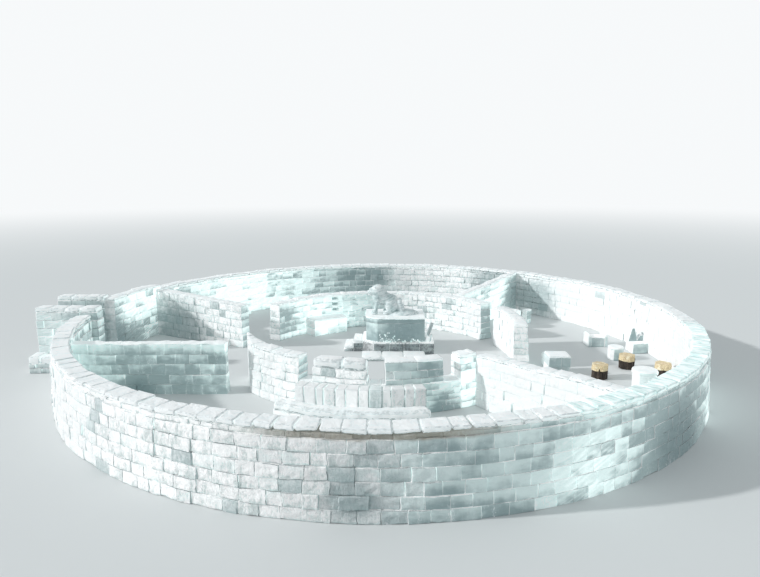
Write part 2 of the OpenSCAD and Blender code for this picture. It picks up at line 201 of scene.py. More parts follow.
class Socket:
    """A value in a material; Python's arithmetic on it adds Math nodes."""

    def __init__(self, look, link):
        self.look = look
        self.link = link

    def __add__(self, other):
        return self.look.maths("ADD", self, other)

    def __sub__(self, other):
        return self.look.maths("SUBTRACT", self, other)

    def __rsub__(self, other):
        return self.look.maths("SUBTRACT", other, self)

    def __mul__(self, other):
        return self.look.maths("MULTIPLY", self, other)

    __radd__ = __add__
    __rmul__ = __mul__

    def above(self, low, high):
        """Smooth climb from 0 at low to 1 at high, or a fall if high is the lower one."""
        values = {"Value": self, "From Min": min(low, high), "From Max": max(low, high)}
        climb = self.look.node("ShaderNodeMapRange", values, interpolation_type="SMOOTHSTEP")
        return climb if high > low else 1 - climb


class Nodes:
    """The nodes of a material or world, with one way to add them."""

    def __init__(self, owner):
        owner.use_nodes = True
        self.tree = owner.node_tree

    def node(self, kind, values=None, output=0, **settings):
        made = self.tree.nodes.new(kind)
        for key, value in settings.items():
            setattr(made, key, value)
        for key, value in (values or {}).items():
            if isinstance(value, Socket):
                self.tree.links.new(value.link, made.inputs[key])
            else:
                made.inputs[key].default_value = value
        return Socket(self, made.outputs[output])


class Look(Nodes):
    """A material with its Principled surface."""

    def __init__(self, name, **constants):
        self.material = bpy.data.materials.new(name)
        super().__init__(self.material)
        self.surface = self.tree.nodes["Principled BSDF"]
        for key, value in constants.items():
            self.surface.inputs[key.replace("_", " ")].default_value = value

    def maths(self, operation, first, second):
        return self.node("ShaderNodeMath", {0: first, 1: second}, operation=operation)

    def place(self, scale=(1, 1, 1)):
        here = self.node("ShaderNodeTexCoord", output="Object")
        return self.node("ShaderNodeMapping", {"Vector": here, "Scale": scale})

    def axis(self, name):
        return self.node("ShaderNodeSeparateXYZ", {0: self.place()}, name)

    def attribute(self, name, output="Fac"):
        return self.node("ShaderNodeAttribute", output=output, attribute_name=name)

    def cell(self, axis):
        """Place within a block, from -1 to 1 along one of its sides."""
        return self.node("ShaderNodeSeparateXYZ", {0: self.attribute("cell", "Vector")}, axis)

    def rim(self, width):
        """1 at the edges of a block's faces and 0 away from them."""
        near = [self.maths("ABSOLUTE", self.cell(axis), 0).above(1 - width, 1) for axis in "XYZ"]
        return (near[0] + near[1] + near[2] - 1).above(0, 1)

    def texture(self, where, scale, detail, roughness):
        values = {"Vector": where, "Scale": scale, "Detail": detail, "Roughness": roughness}
        return self.node("ShaderNodeTexNoise", values)

    def noise(self, scale, detail=3, stretch=(1, 1, 1), roughness=0.5, shift=None):
        where = self.place(stretch)
        if shift:
            where = self.node("ShaderNodeVectorMath", {0: where, 1: shift * 10}, operation="ADD")
        return self.texture(where, scale, detail, roughness)

    def strokes(self, scale):
        """Long strokes that climb to the right."""
        where = self.node("ShaderNodeMapping", {"Vector": self.place(), "Rotation": (-0.3, 0.3, 0)})
        where = self.node("ShaderNodeMapping", {"Vector": where, "Scale": (0.45, 0.45, 5)})
        return self.texture(where, scale, 4, 0.6)

    def zones(self, spots):
        """1 at spots (x, y, z, reach) about the middle of the walls, falling to 0 at the reach of each."""
        total = 0
        for x, y, z, reach in spots:
            values = {0: self.place(), 1: CENTRE + Vector((x, y, z))}
            away = self.node("ShaderNodeVectorMath", values, "Value", operation="DISTANCE")
            total = total + away.above(reach, 0)
        return total

    def blend(self, share, first, second):
            return self.node("ShaderNodeMix", {0: share, 6: first, 7: second}, 2, data_type="RGBA")

    def feed(self, socket, value):
        self.tree.links.new(value.link, self.surface.inputs[socket])

    def bump(self, height, strength, distance):
        values = {"Height": height, "Strength": strength, "Distance": distance}
        self.feed("Normal", self.node("ShaderNodeBump", values))


def rgb(r, g, b):
    return (r, g, b, 1.0)


# Colours, or the two ends of a range of them
FROST_PALE = rgb(0.97, 0.98, 0.98)
FROST_GREY = rgb(0.77, 0.84, 0.83)
FROST_AQUA = rgb(0.64, 0.77, 0.76)
CLEAR_PALE = rgb(0.74, 0.85, 0.84)
DEEP_ICE_AND_SHADE = rgb(0.34, 0.44, 0.45)
GLOW_MINT = rgb(0.68, 0.82, 0.80)
JOINT_GREY = rgb(0.29, 0.34, 0.35)
RIME_WHITE = rgb(0.95, 0.98, 0.98)
SHADE_AND_STAIN_BROWN = rgb(0.42, 0.39, 0.33)
DIRT_GREY = rgb(0.17, 0.19, 0.20)
SNOW_WHITES = (rgb(0.87, 0.90, 0.91), rgb(0.98, 0.98, 0.98))
SNOW_THIN = (rgb(0.55, 0.71, 0.70), rgb(0.88, 0.95, 0.94))
CARVED_BODY = (rgb(0.60, 0.71, 0.71), rgb(0.88, 0.93, 0.93))
CARVED_STROKE = rgb(0.42, 0.52, 0.53)
WOOD_TANS = (rgb(0.48, 0.33, 0.17), rgb(0.86, 0.72, 0.47))
WOOD_PALE = rgb(0.94, 0.86, 0.68)
BARK_BROWNS = (rgb(0.02, 0.015, 0.012), rgb(0.10, 0.075, 0.06))
BLACK = rgb(0, 0, 0)
FLOOR_GREY = rgb(0.70, 0.72, 0.72)
BACKDROP = rgb(0.93, 0.95, 0.96)
SKY_BLUE = rgb(0.91, 0.97, 1.0)

# How light passes through ice
ICE_DEPTHS = {"IOR": 1.31, "Subsurface_Radius": (0.04, 0.042, 0.042), "Subsurface_Scale": 1.0}

# Painted shade spots, painted light spots where sunlight would shine through the ice, and dirty spots: x, y,
# z and reach
PAINTED_SHADE_SPOTS = ((6.9, -7.6, 0.3, 2.2), (1.9, -5.1, 0.0, 0.8), (0.9, 0.6, 0.7, 1.0), (-9.7, 0.8, 0.0, 2.6),
              (-7.2, -3.5, 0.0, 0.9), (0.0, 9.75, 1.2, 0.6), (-0.6, -10.3, 0.5, 0.8), (-8.0, 3.0, 0.2, 2.4),
              (5.5, 8.0, 0.9, 2.4), (7.2, 6.4, 0.8, 1.5))
PAINTED_LIGHT_SPOTS = ((-6.0, 7.7, 1.3, 6.0), (-9.6, 3.2, 1.1, 2.8), (2.35, -4.5, 0.8, 1.1), (4.8, 5.7, 1.0, 2.6),
              (-2.6, 3.8, 0.9, 2.2), (-0.8, 4.6, 0.9, 1.5), (4.3, -9.4, 0.5, 1.6), (-11.0, -0.9, 1.6, 2.0),
              (9.2, -4.2, 1.0, 3.0), (-9.7, 1.9, 1.9, 1.5), (-6.4, -3.2, 2.4, 1.4))
DIRT_SPOTS = ((-0.3, 0.4, 0.1, 1.1), (0.7, 0.4, 0.1, 1.1), (1.7, 0.4, 0.1, 1.1), (-0.8, 1.0, 0.0, 0.6))


def block_ice():
    """Ice of the blocks, painted from how each face is turned to the sun: frosted and white on sunlit faces,
    deep and see-through on shaded ones, with painted light where sunlight would shine through.
    """
    look = Look("block_ice", Subsurface_Weight=0.5, Coat_Weight=0.12, Coat_Roughness=0.15,
                Emission_Strength=1.0, **ICE_DEPTHS)
    blend = look.blend
    tint = look.attribute("tint")
    lit = look.attribute("lit")
    marked = look.attribute("edge")
    edge = look.maths("MINIMUM", marked, 1)
    painted_recess_shade = marked.above(1.3, 1.7)
    rise = look.cell("Z")
    height = look.axis("Z")
    across = look.axis("X")

    # Patterns, from broad to fine
    clouds = look.noise(0.55, 4, (1, 1, 1.6), 0.55)
    patches = look.noise(3, 3, (1, 1, 2), 0.5, tint)
    strokes = look.strokes(4.5)
    veins = look.noise(6, 4, (1, 1, 0.22), 0.6, tint)
    chips = look.noise(15, 5, (1, 1, 0.8), 0.7, tint)
    grain = look.noise(40, 3, (1, 1, 0.5), 0.6)
    # Painted shade and painted light, in spots fixed on the walls and broken up by patches
    painted_shade = look.zones(PAINTED_SHADE_SPOTS) * (0.6 + patches * 0.8)
    painted_light = look.zones(PAINTED_LIGHT_SPOTS) * (0.35 + patches) * (0.65 + tint * 0.7)
    # Painted sunlit and shaded looks: faces turned from the sun are see-through, faces turned to it frosted
    # and whiter; a few random blocks are see-through too
    clear_and_shaded_sides = lit.above(0.27, 0.03)
    clear_and_shaded_sides = clear_and_shaded_sides + (1 - clear_and_shaded_sides) * tint.above(0.035, 0.025) * 0.55
    painted_sunlit = lit.above(0.5, 1.1)

    # Clear ice, a little paler towards each block's top and lightened or darkened by the painted spots, with
    # rime along edges and in strokes
    depth = clouds * 1.3 + tint * 0.26 + veins * 0.25 + patches * 0.4 + rise * 0.13
    shade = (depth + painted_light * 0.4 - painted_shade * 0.8).above(0.92, 1.40)
    body = blend(shade, DEEP_ICE_AND_SHADE, CLEAR_PALE)
    # Painted highlights: white slivers at the tops and left ends of some blocks
    sliver_highlights = rise.above(0.84, 0.97) * tint.above(0.76, 0.80)
    ends = look.cell("X").above(-0.90, -0.98) * tint.above(0.88, 0.92)
    rime = look.rim(0.14) * patches.above(0.46, 0.66) * 0.5 + (sliver_highlights + ends) * chips.above(0.35, 0.5) * 0.6
    # Strokes are whitened mostly where painted light falls
    rime = rime + strokes.above(0.46, 0.62) * (0.06 + painted_light * 0.6)
    body = blend(rime.above(0, 1), body, RIME_WHITE)
    body = blend(edge * chips.above(0.62, 0.45) * lit.above(-0.3, 0.1) * 0.35, body, DEEP_ICE_AND_SHADE)

    # Frosted ice, whiter on sunlit faces, with painted shade at the foot of each block, random aqua patches,
    # open joints that fade on sunlit faces, and painted shade in the shade spots
    rough = (veins * 0.8 + chips * 0.9 + tint * 0.16 + rise * 0.07).above(0.70, 1.04)
    frost = blend((rough + painted_sunlit * 0.8).above(0, 1), FROST_GREY, FROST_PALE)
    painted_foot_shade = rise.above(-0.5, -0.95) * patches.above(0.35, 0.6)
    aqua_and_foot_shade = painted_foot_shade * 0.9 + tint.above(0.6, 0.9) * patches.above(0.42, 0.6) * 0.5
    frost = blend(aqua_and_foot_shade * (1 - painted_sunlit), frost, FROST_AQUA)
    open_joint = edge * look.noise(1.7, 3, (1, 1, 2.5), 0.6).above(0.38, 0.56)
    painted_sun_fade = lit.above(0.45, 0.85) * 0.85
    frost = blend(open_joint * (1 - painted_sun_fade) * chips.above(0.25, 0.5), frost, JOINT_GREY)
    frost = blend(painted_shade.above(0.1, 0.8) * 0.6, frost, DEEP_ICE_AND_SHADE)
    ice = blend(clear_and_shaded_sides, frost, body)
    # Painted shade in the backs of the niches
    ice = blend(painted_recess_shade * 0.8, ice, DEEP_ICE_AND_SHADE)

    # Rime at the foot, the brown band under the front caps, partly a stain and partly painted shade under the
    # caps, and the plinth's dirty foot
    speckle = (grain + veins).above(1.08, 1.35)
    grimy = look.zones(DIRT_SPOTS).above(0, 0.5)
    foot = height.above(0.30, 0.05) * (0.2 + speckle) * (1 - grimy)
    ice = blend((speckle * 0.45 + foot * 0.4).above(0, 1), ice, RIME_WHITE)
    uneven = height + patches * 0.10
    shade_and_stain = uneven.above(1.66, 1.74) * uneven.above(1.90, 1.84) * look.axis("Y").above(-9.2, -9.6)
    shade_and_stain = shade_and_stain * across.above(-2.6, -0.6) * across.above(3.8, 1.8)
    ice = blend(shade_and_stain * (0.4 + chips * 0.9), ice, SHADE_AND_STAIN_BROWN)
    ledge = height.above(0.37, 0.40) * height.above(0.47, 0.44) * chips.above(0.38, 0.55)
    low = grimy * height.above(0.46, 0.38)
    ice = blend(low * (0.4 + (chips * 0.8 + patches * 0.6).above(0.58, 0.82) * 0.55), ice, DIRT_GREY)
    chipped = grimy * ledge + low * edge * chips.above(0.42, 0.55)
    look.feed("Base Color", blend(chipped.above(0, 1), ice, RIME_WHITE))

    # Painted light: mint emission where sunlight would shine through shaded ice and in the painted light
    # spots, less in the painted shade spots and niche backs, and white emission on sunlit frosted ice
    through = lit.above(0.05, -0.6) * (0.2 + shade * 0.5 + rime * 0.15) * painted_shade.above(0.9, 0.1)
    through = through + painted_light * lit.above(0.35, -0.05) * (0.12 + strokes.above(0.4, 0.62) * 0.18)
    through = through * (1 + edge * 0.25) + edge * painted_light * 0.12
    through = through * (1 - painted_recess_shade * 0.9)
    white = (1 - clear_and_shaded_sides) * lit.above(0.1, 0.6) * lit.above(0.95, 0.6) * (0.2 + rough * 1.1)
    white = white * painted_shade.above(0.8, 0) * (1 - open_joint * 0.9) * (1 - shade_and_stain * 0.9) * 0.26
    look.feed("Emission Color", blend(white, blend(through, BLACK, GLOW_MINT), FROST_PALE))
    look.feed("Roughness", 0.32 + speckle * 0.3 + (1 - clear_and_shaded_sides) * 0.25)
    relief = (veins * 0.9 + chips * 1.6 + grain * 0.3) * (1.12 - clear_and_shaded_sides) * (1 - painted_sunlit * 0.7)
    look.bump(relief + strokes * 0.15 + patches * 0.7, 0.9, 0.06)
    return look.material


def snow():
    """Snow and rime on the tops, with bare ice where it is thin."""
    look = Look("packed_snow", Subsurface_Weight=0.4, Subsurface_Radius=(0.05, 0.052, 0.053),
                Subsurface_Scale=1.0, Emission_Strength=1.0)
    drift = look.noise(2.2, 4)
    lumps = look.noise(9, 4, (1, 1, 1.5), 0.6)
    grain = look.noise(55, 4, (1, 1, 1), 0.7)
    strokes = look.strokes(5)
    lit = look.attribute("lit")
    cover = (look.attribute("tint") + lumps * 0.5).above(0.45, 0.85)
    ice = look.blend(strokes.above(0.36, 0.6), *SNOW_THIN)
    white = look.blend((drift + lumps).above(0.75, 1.2), *SNOW_WHITES)
    # Painted shade: the lower part of each slab's front is darker
    painted_low_shade = look.cell("Z").above(0.2, -0.6) * lumps.above(0.42, 0.62)
    worn = look.attribute("edge") * lumps.above(0.35, 0.6) * 0.45
    white = look.blend((worn + painted_low_shade * 0.35).above(0, 1), white, JOINT_GREY)
    look.feed("Base Color", look.blend(cover, ice, white))
    look.feed("Roughness", 0.4 + cover * 0.3 + grain * 0.3)
    # Painted light: mint emission on snow turned from the sun and on bare ice, a little on sunlit snow
    through = lit.above(0.2, -0.4) * 0.35 + (1 - cover) * strokes * 0.4
    through = through + cover * (0.03 + lit.above(1.0, 0.25) * 0.13)
    look.feed("Emission Color", look.blend(through, BLACK, GLOW_MINT))
    look.bump((grain * 0.6 + lumps * 1.8 + drift) * (0.15 + cover * 0.85), 0.7, 0.04)
    return look.material


def carved_ice():
    """Ice of the figure: pale and cloudy, white with scratches on what stands out."""
    look = Look("carved_ice", Subsurface_Weight=0.4, Coat_Weight=0.1, Coat_Roughness=0.2, **ICE_DEPTHS)
    clouds = look.noise(3.2, 5, (1, 1, 1), 0.6)
    scratches = look.noise(7, 5, (1, 1, 4), 0.65)
    strokes = look.strokes(6)
    body = look.blend(clouds.above(0.38, 0.62), *CARVED_BODY)
    body = look.blend(strokes.above(0.5, 0.58) * 0.6, body, CARVED_STROKE)
    look.feed("Base Color", look.blend(scratches.above(0.52, 0.68) * 0.8, body, RIME_WHITE))
    look.feed("Roughness", 0.4 + scratches * 0.35)
    look.bump(scratches + strokes + look.noise(60, 3) * 0.3, 0.8, 0.03)
    return look.material


def sawn_top():
    look = Look("sawn_top")
    fibres = look.noise(26, 4, (1, 3, 1), 0.7)
    blotches = look.noise(7, 3)
    body = look.blend(fibres.above(0.32, 0.6), *WOOD_TANS)
    look.feed("Base Color", look.blend(blotches.above(0.5, 0.65) * 0.8, body, WOOD_PALE))
    look.feed("Roughness", 0.7 + fibres * 0.25)
    look.bump(fibres, 0.8, 0.02)
    return look.material


def bark():
    look = Look("bark")
    ridges = look.noise(18, 5, (1, 1, 0.2), 0.7)
    look.feed("Base Color", look.blend(ridges.above(0.4, 0.7), *BARK_BROWNS))
    look.feed("Roughness", 0.8 + ridges * 0.2)
    look.bump(ridges, 1.0, 0.03)
    return look.material


MASONRY = (block_ice(), snow())
CARVED_ICE = (carved_ice(),)
WOOD = (sawn_top(), bark())


class ArcWall:
    """Place on a curved wall: s along its middle, v out from its inner face, z up."""

    def __init__(self, in_r, foot_t, top_t, height, start_a, end_a):
        self.in_r = in_r
        self.thick = foot_t
        self.lean = (foot_t - top_t) / height
        self.start_a = radians(start_a)
        self.mid_r = in_r + foot_t / 2
        self.length = radians(end_a - start_a) * self.mid_r

    def s_at(self, angle):
        return (radians(angle) - self.start_a) * self.mid_r

    def point(self, s, v, z):
        here_t = self.thick - self.lean * z
        r = self.in_r + v / self.thick * here_t
        a = self.start_a + s / self.mid_r
        return CENTRE + Vector((r * cos(a), r * sin(a), z))


class StraightWall:
    """Place on a straight wall: s along it, v across it from its right face, z up."""

    def __init__(self, start, end, thick, start_h=1.0, end_h=1.0):
        self.start = start
        self.length = (end - start).length
        self.along = (end - start).normalized()
        self.across = Vector((-self.along.y, self.along.x, 0))
        self.thick = thick
        self.rise = (end_h - start_h) / self.length / start_h

    def point(self, s, v, z):
        flat = self.start + self.along * s + self.across * (v - self.thick / 2)
        return flat + Vector((0, 0, z * (1 + self.rise * s)))


def spot(r, angle):
    return CENTRE + Vector((r * cos(radians(angle)), r * sin(radians(angle)), 0))


def even_arc(in_r, depth, angles):
    return ArcWall(in_r, depth, depth, 1, *angles)


def stub(middle, length, thick, angle):
    """Short straight wall about its middle."""
    half = level(angle) * (length / 2)
    return StraightWall(middle - half, middle + half, thick)


def strip(x0, x1, y0, y1):
    """Straight wall along +X over a rectangle."""
    middle_y = (y0 + y1) / 2
    return StraightWall(Vector((x0, middle_y, 0)), Vector((x1, middle_y, 0)), y1 - y0)


def box_wall(node):
    low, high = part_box(node)
    return strip(low.x, high.x, low.y, high.y)


def new_mesh():
    bm = bmesh.new()
    bm.verts.layers.float_vector.new("cell")
    bm.faces.layers.int.new("side")
    for name in ("tint", "edge", "lit"):
        bm.faces.layers.float.new(name)
    return bm


def join(bm, part):
    """Adds part's mesh to bm and frees part."""
    mesh = bpy.data.meshes.new("joined")
    part.to_mesh(mesh)
    part.free()
    bm.from_mesh(mesh)
    bpy.data.meshes.remove(mesh)


def mark(bm, faces, tint, part=ICE):
    """Gives the faces of a new block their tint, side and material, and its points their place in it."""
    layer = bm.faces.layers.float["tint"]
    side = bm.faces.layers.int["side"]
    for face in faces:
        face.normal_update()
        axis = max(range(3), key=lambda index: abs(face.normal[index]))
        face[side] = axis * 2 + (face.normal[axis] > 0)
        face[layer] = tint
        face.material_index = part
    verts = {vert for face in faces for vert in face.verts}
    if not verts:
        return
    low = [min(vert.co[axis] for vert in verts) for axis in range(3)]
    high = [max(vert.co[axis] for vert in verts) for axis in range(3)]
    cell = bm.verts.layers.float_vector["cell"]
    for vert in verts:
        vert[cell] = [2 * (vert.co[axis] - low[axis]) / (high[axis] - low[axis]) - 1 for axis in range(3)]


def faces_of(verts):
    return {face for vert in verts for face in vert.link_faces}


def add_block(bm, box, tint, part=ICE):
    """Adds the block of a box (s0, s1, v0, v1, z0, z1), and gives its points."""
    s0, s1, v0, v1, z0, z1 = box
    size = Matrix.Diagonal((s1 - s0, v1 - v0, z1 - z0, 1))
    middle = Matrix.Translation(((s0 + s1) / 2, (v0 + v1) / 2, (z0 + z1) / 2))
    verts = bmesh.ops.create_cube(bm, size=1, matrix=middle @ size)["verts"]
    mark(bm, faces_of(verts), tint, part)
    return verts


def add_cylinder(bm, radius, depth, segments, matrix):
    bmesh.ops.create_cone(bm, cap_ends=True, segments=segments, radius1=radius, radius2=radius, depth=depth,
                          matrix=matrix)


def turned(place, angle, axis="Z"):
    return Matrix.Translation(place) @ Matrix.Rotation(radians(angle), 4, axis)


def prism(bm, outline, z0, z1):
    """Upright solid over an outline."""
    floor_face = bm.faces.new([bm.verts.new((x, y, z0)) for x, y in outline])
    made = bmesh.ops.extrude_face_region(bm, geom=[floor_face])
    top = [piece for piece in made["geom"] if isinstance(piece, bmesh.types.BMVert)]
    bmesh.ops.translate(bm, vec=(0, 0, z1 - z0), verts=top)


def bevel(bm, edges, width, segments, clamp=False):
    made = bmesh.ops.bevel(bm, geom=edges, offset=width, segments=segments, profile=0.5, affect="EDGES",
                           material=-1, clamp_overlap=clamp)
    return made["faces"]


def bevel_all(bm, width, segments=1):
    """Bevels all edges that aren't flat."""
    bm.normal_update()
    sharp = [edge for edge in bm.edges if edge.calc_face_angle(0) > 0.5]
    for face in bevel(bm, sharp, width, segments, True):
        face[bm.faces.layers.float["edge"]] = 1.0


def split(bm, edges, cuts):
    bmesh.ops.subdivide_edges(bm, edges=edges, cuts=cuts, use_grid_fill=True)


def roughen(bm, amount, scale, seed):
    """Moves the points of a mesh by a smooth random field."""
    shift = Vector((seed * 3.7, seed * 1.3, seed * 2.1))
    for vert in bm.verts:
        vert.co += noise.noise_vector(vert.co * scale + shift) * amount


def trim(bm, point, normal):
    """Cuts off what lies beyond a plane, and closes the cut."""
    everything = bm.verts[:] + bm.edges[:] + bm.faces[:]
    made = bmesh.ops.bisect_plane(bm, geom=everything, plane_co=point, plane_no=normal, clear_outer=True)
    cut = [piece for piece in made["geom_cut"] if isinstance(piece, bmesh.types.BMEdge)]
    if cut:
        bmesh.ops.holes_fill(bm, edges=cut)


def note_painted_sunlight(bm, shade):
    """Notes how far each side of a block is turned to the sun, less the piece's own shade.

    Tops count as turned to it, and bevels as the brightest face beside them. The materials paint sunlit and
    shaded looks from it.
    """
    floats = bm.faces.layers.float
    tint, edge, lit = floats["tint"], floats["edge"], floats["lit"]
    side = bm.faces.layers.int["side"]
    turned = {}
    for face in bm.faces:
        key = (face[tint], face[side])
        turned[key] = turned.get(key, Vector()) + face.normal * face.calc_area()
    for face in bm.faces:
        normal = turned[(face[tint], face[side])].normalized()
        face[lit] = normal.dot(SUN_FLAT) + max(0, normal.z) * 0.6 - shade
    for face in bm.faces:
        if face[edge]:
            beside = [other[lit] for rim in face.edges for other in rim.link_faces if not other[edge]]
            if beside:
                face[lit] = max(beside)
    bm.faces.layers.int.remove(side)


def add_object(name, data):
    made = bpy.data.objects.new(name, data)
    scene.collection.objects.link(made)
    return made


def finish_piece(bm, name, node, place=None, slant=None, materials=MASONRY, shade=0.0):
    """Moves a mesh to its place and makes it a piece that stands for a node."""
    for vert in bm.verts:
        if place:
            vert.co = place(*vert.co)
        vert.co.z = max(0, vert.co.z)
    if slant:
        trim(bm, *slant)
    bm.normal_update()
    bmesh.ops.recalc_face_normals(bm, faces=bm.faces[:])
    bm.normal_update()
    if "lit" in bm.faces.layers.float:
        note_painted_sunlight(bm, shade)
    mesh = bpy.data.meshes.new(name)
    bm.to_mesh(mesh)
    bm.free()
    for material in materials:
        mesh.materials.append(material)
    piece = add_object(name, mesh)
    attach(piece, "root")
    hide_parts(node)
    return piece


def spans(length, size, shift, dice, spread):
    """Start and end of each block in a course."""
    cuts = [0.0]
    here = size * shift
    while here < length - size * SHORTEST:
        cuts.append(here)
        here += size * (1 + dice.uniform(-spread, spread))
    cuts.append(length)
    return list(zip(cuts, cuts[1:]))


def around(box, hole):
    """The boxes that are left of a block when a hole in its inner face is kept open."""
    s0, s1, v0, v1, z0, z1 = box
    hole_s0, hole_s1, hole_v, hole_z0, hole_z1 = hole
    if s1 <= hole_s0 or s0 >= hole_s1 or z1 <= hole_z0 or z0 >= hole_z1:
        return [box]
    in_s0, in_s1 = max(s0, hole_s0), min(s1, hole_s1)
    in_z0, in_z1 = max(z0, hole_z0), min(z1, hole_z1)
    left = [(s0, in_s0, v0, v1, z0, z1), (in_s1, s1, v0, v1, z0, z1), (in_s0, in_s1, v0, v1, z0, in_z0),
            (in_s0, in_s1, v0, v1, in_z1, z1), (in_s0, in_s1, hole_v, v1, in_z0, in_z1)]
    return [part for part in left if part[1] - part[0] > 0.01 and part[5] - part[4] > 0.01]


def jolt(dice, s, v, z):
    return Vector((dice.uniform(-s, s), dice.uniform(-v, v), dice.uniform(-z, z)))


def lay_courses(wall, rows, dice, part, holes=(), worn=BEVEL, jut=JUT, joint=JOINT, rugged=False):
    """Staggered courses of blocks over a wall, of which those with their middle in part are built.

    A row is its height, its blocks' width and how far it stands back. Rugged blocks get hewn faces.
    """
    bm = new_mesh()
    low = 0
    for row, (course_h, size, sunk) in enumerate(rows):
        for s0, s1 in spans(wall.length, size, 0.5 if row % 2 else 1.0, dice, 0.30 + sunk * 6):
            tint = dice.random()
            proud = dice.uniform(-0.004, jut) + dice.choice((0,) * 7 + (jut, -jut)) - sunk
            jolts = [jolt(dice, 0.011, 0.011, 0.009) for _ in range(8)]
            if not part[0] <= (s0 + s1) / 2 < part[1]:
                continue
            boxes = [(s0 + joint / 2, s1 - joint / 2, -proud, wall.thick + proud,
                      low + JOINT / 2, low + course_h - JOINT / 2 - sunk)]
            for hole in holes:
                boxes = [left for box in boxes for left in around(box, hole)]
            for box in boxes:
                verts = add_block(bm, box, tint)
                # The backs of the niches are marked for painted shade in the recess
                if any(box[2] == hole[2] for hole in holes):
                    for face in faces_of(verts):
                        face[bm.faces.layers.float["edge"]] = NICHE_SHADE_MARK
                for vert, shift in zip(verts, jolts):
                    vert.co += shift * (0.3 if holes else 1)
        low += course_h
    if rugged:
        flat = [edge for edge in bm.edges if edge.calc_length() > 0.12
                and abs(edge.verts[0].co.y - edge.verts[1].co.y) < edge.calc_length() / 2]
        split(bm, flat, 2)
    bevel_all(bm, worn)
    roughen(bm, *(HEWN_RELIEF if rugged else PLAIN_RELIEF), low)
    return bm


def lay_snow(wall, z1, size, dice, part, depth, bare, soft):
    """Slabs of snow, or a drift if size is a metre or more; bare(s) is 1 where the ice is bare."""
    bm = new_mesh()
    loose = min(1, depth / 0.1)
    gap = 0.003 if soft else 0.008
    for s0, s1 in spans(wall.length, size, 1.0, dice, 0.22):
        lift = dice.uniform(-0.03, 0.0) * loose
        out = dice.uniform(-0.01, 0.03)
        back = dice.uniform(-0.03, 0.01)
        jolts = [jolt(dice, 0.024 * loose, 0.022 * loose, 0.016 * loose) for _ in range(8)]
        cover = dice.uniform(0.55, 1.0) * (1 - 0.95 * bare(s0))
        if part[0] <= (s0 + s1) / 2 < part[1]:
            box = (s0 + gap, s1 - gap, back, wall.thick + out, z1 - depth, z1 + lift)
            for vert, shift in zip(add_block(bm, box, cover, SNOW), jolts):
                vert.co += shift
    drift = size >= 1
    long_edges = [edge for edge in bm.edges if edge.calc_length() > max(0.25, size * 0.5)]
    split(bm, long_edges, round(size / 0.09) if drift else 2)
    bevel_all(bm, depth * 0.3 if soft else min(0.028, depth * 0.4), 2 if soft else 1)
    roughen(bm, *(DRIFT_RELIEF if drift else SLAB_RELIEF), z1)
    for face in bm.faces:
        face.smooth = soft
    return bm


def wave(bm, amount):
    """Lets the courses rise and dip along a wall."""
    for vert in bm.verts:
        rise = noise.noise(Vector((vert.co.x * 0.6, 0.5, vert.co.z * 2.5)))
        vert.co.z += rise * amount * min(1, vert.co.z / 0.2)


def masonry(seed, name, node, wall, top, courses, size, cap_h=SNOW_H, cap_size=None, part=None, soft=True,
            collar_h=0, slant=None, shade=0.0, bare=lambda s: 0, **finish):
    """One wall piece of blocks of one width, with snow of a depth and length on top.

    top is its height, or those of its foot and top. part is where it starts and ends along the wall.
    Courses are a number of even ones, or the height and block width of each. Shade makes the materials paint
    it as turned further from the sun.
    """
    base, z1 = top if isinstance(top, tuple) else (0, top)
    part = part or (0, wall.length)
    if isinstance(courses, tuple):
        rows = [(height, width, 0) for height, width in courses]
    else:
        even_h = (z1 - base - cap_h * 0.9 - collar_h) / courses
        rows = [(even_h, size, 0)] * courses + [(collar_h, size * 0.8, COLLAR_SUNK)] * bool(collar_h)
    bm = lay_courses(wall, rows, random.Random(seed), part, **finish)
    bmesh.ops.translate(bm, vec=(0, 0, base), verts=bm.verts)
    if cap_h:
        join(bm, lay_snow(wall, z1, cap_size or size, random.Random(seed + 500), part, cap_h, bare, soft))
    if "holes" not in finish:
        wave(bm, 0.03)
    finish_piece(bm, name, node, wall.point, slant, shade=shade)


def lay_walls(seed, walls, **finish):
    """Walls by name, node, wall, height, courses, block width, and depth and length of the snow."""
    for number, wall in enumerate(walls, seed):
        masonry(number, *wall, **finish)


def ring_arc(start_a, end_a):
    return ArcWall(RING_IN_R, RING_OUT_R - RING_IN_R, RING_TOP_T, RING_H, start_a, end_a)


def make_ring():
    wall = ring_arc(RING_START_A, RING_RISE_A)
    stretch = wall.length / SEGMENTS

    def bare(s):
        angle = (degrees(s / wall.mid_r) + RING_START_A) % 360
        begun = min(1, max(0, (angle - BARE_START_A) / BARE_FADE_A))
        return begun * min(1, max(0, (BARE_END_A - angle) / BARE_FADE_A))

    for number in range(1, SEGMENTS + 1):
        node = f"outer_wall_{number}"
        finish = HEWN if number in HEWN_SEGMENTS else SMOOTH
        masonry(11, f"{node}_blocks", node, wall, RING_H, 6, RING_BLOCK_W, 0.12, 0.47,
                ((number - 1) * stretch, number * stretch), False, COLLAR_H, bare=bare, **finish)
    masonry(12, "door_side_blocks", "outer_wall_door_side", ring_arc(RING_RISE_A, RING_END_A), RING_DOOR_H, 7,
            RING_BLOCK_W, **SMOOTH)


def court_arc(angles):
    return ArcWall(COURT_IN_R, COURT_FOOT_T, COURT_TOP_T, COURT_H, *angles)


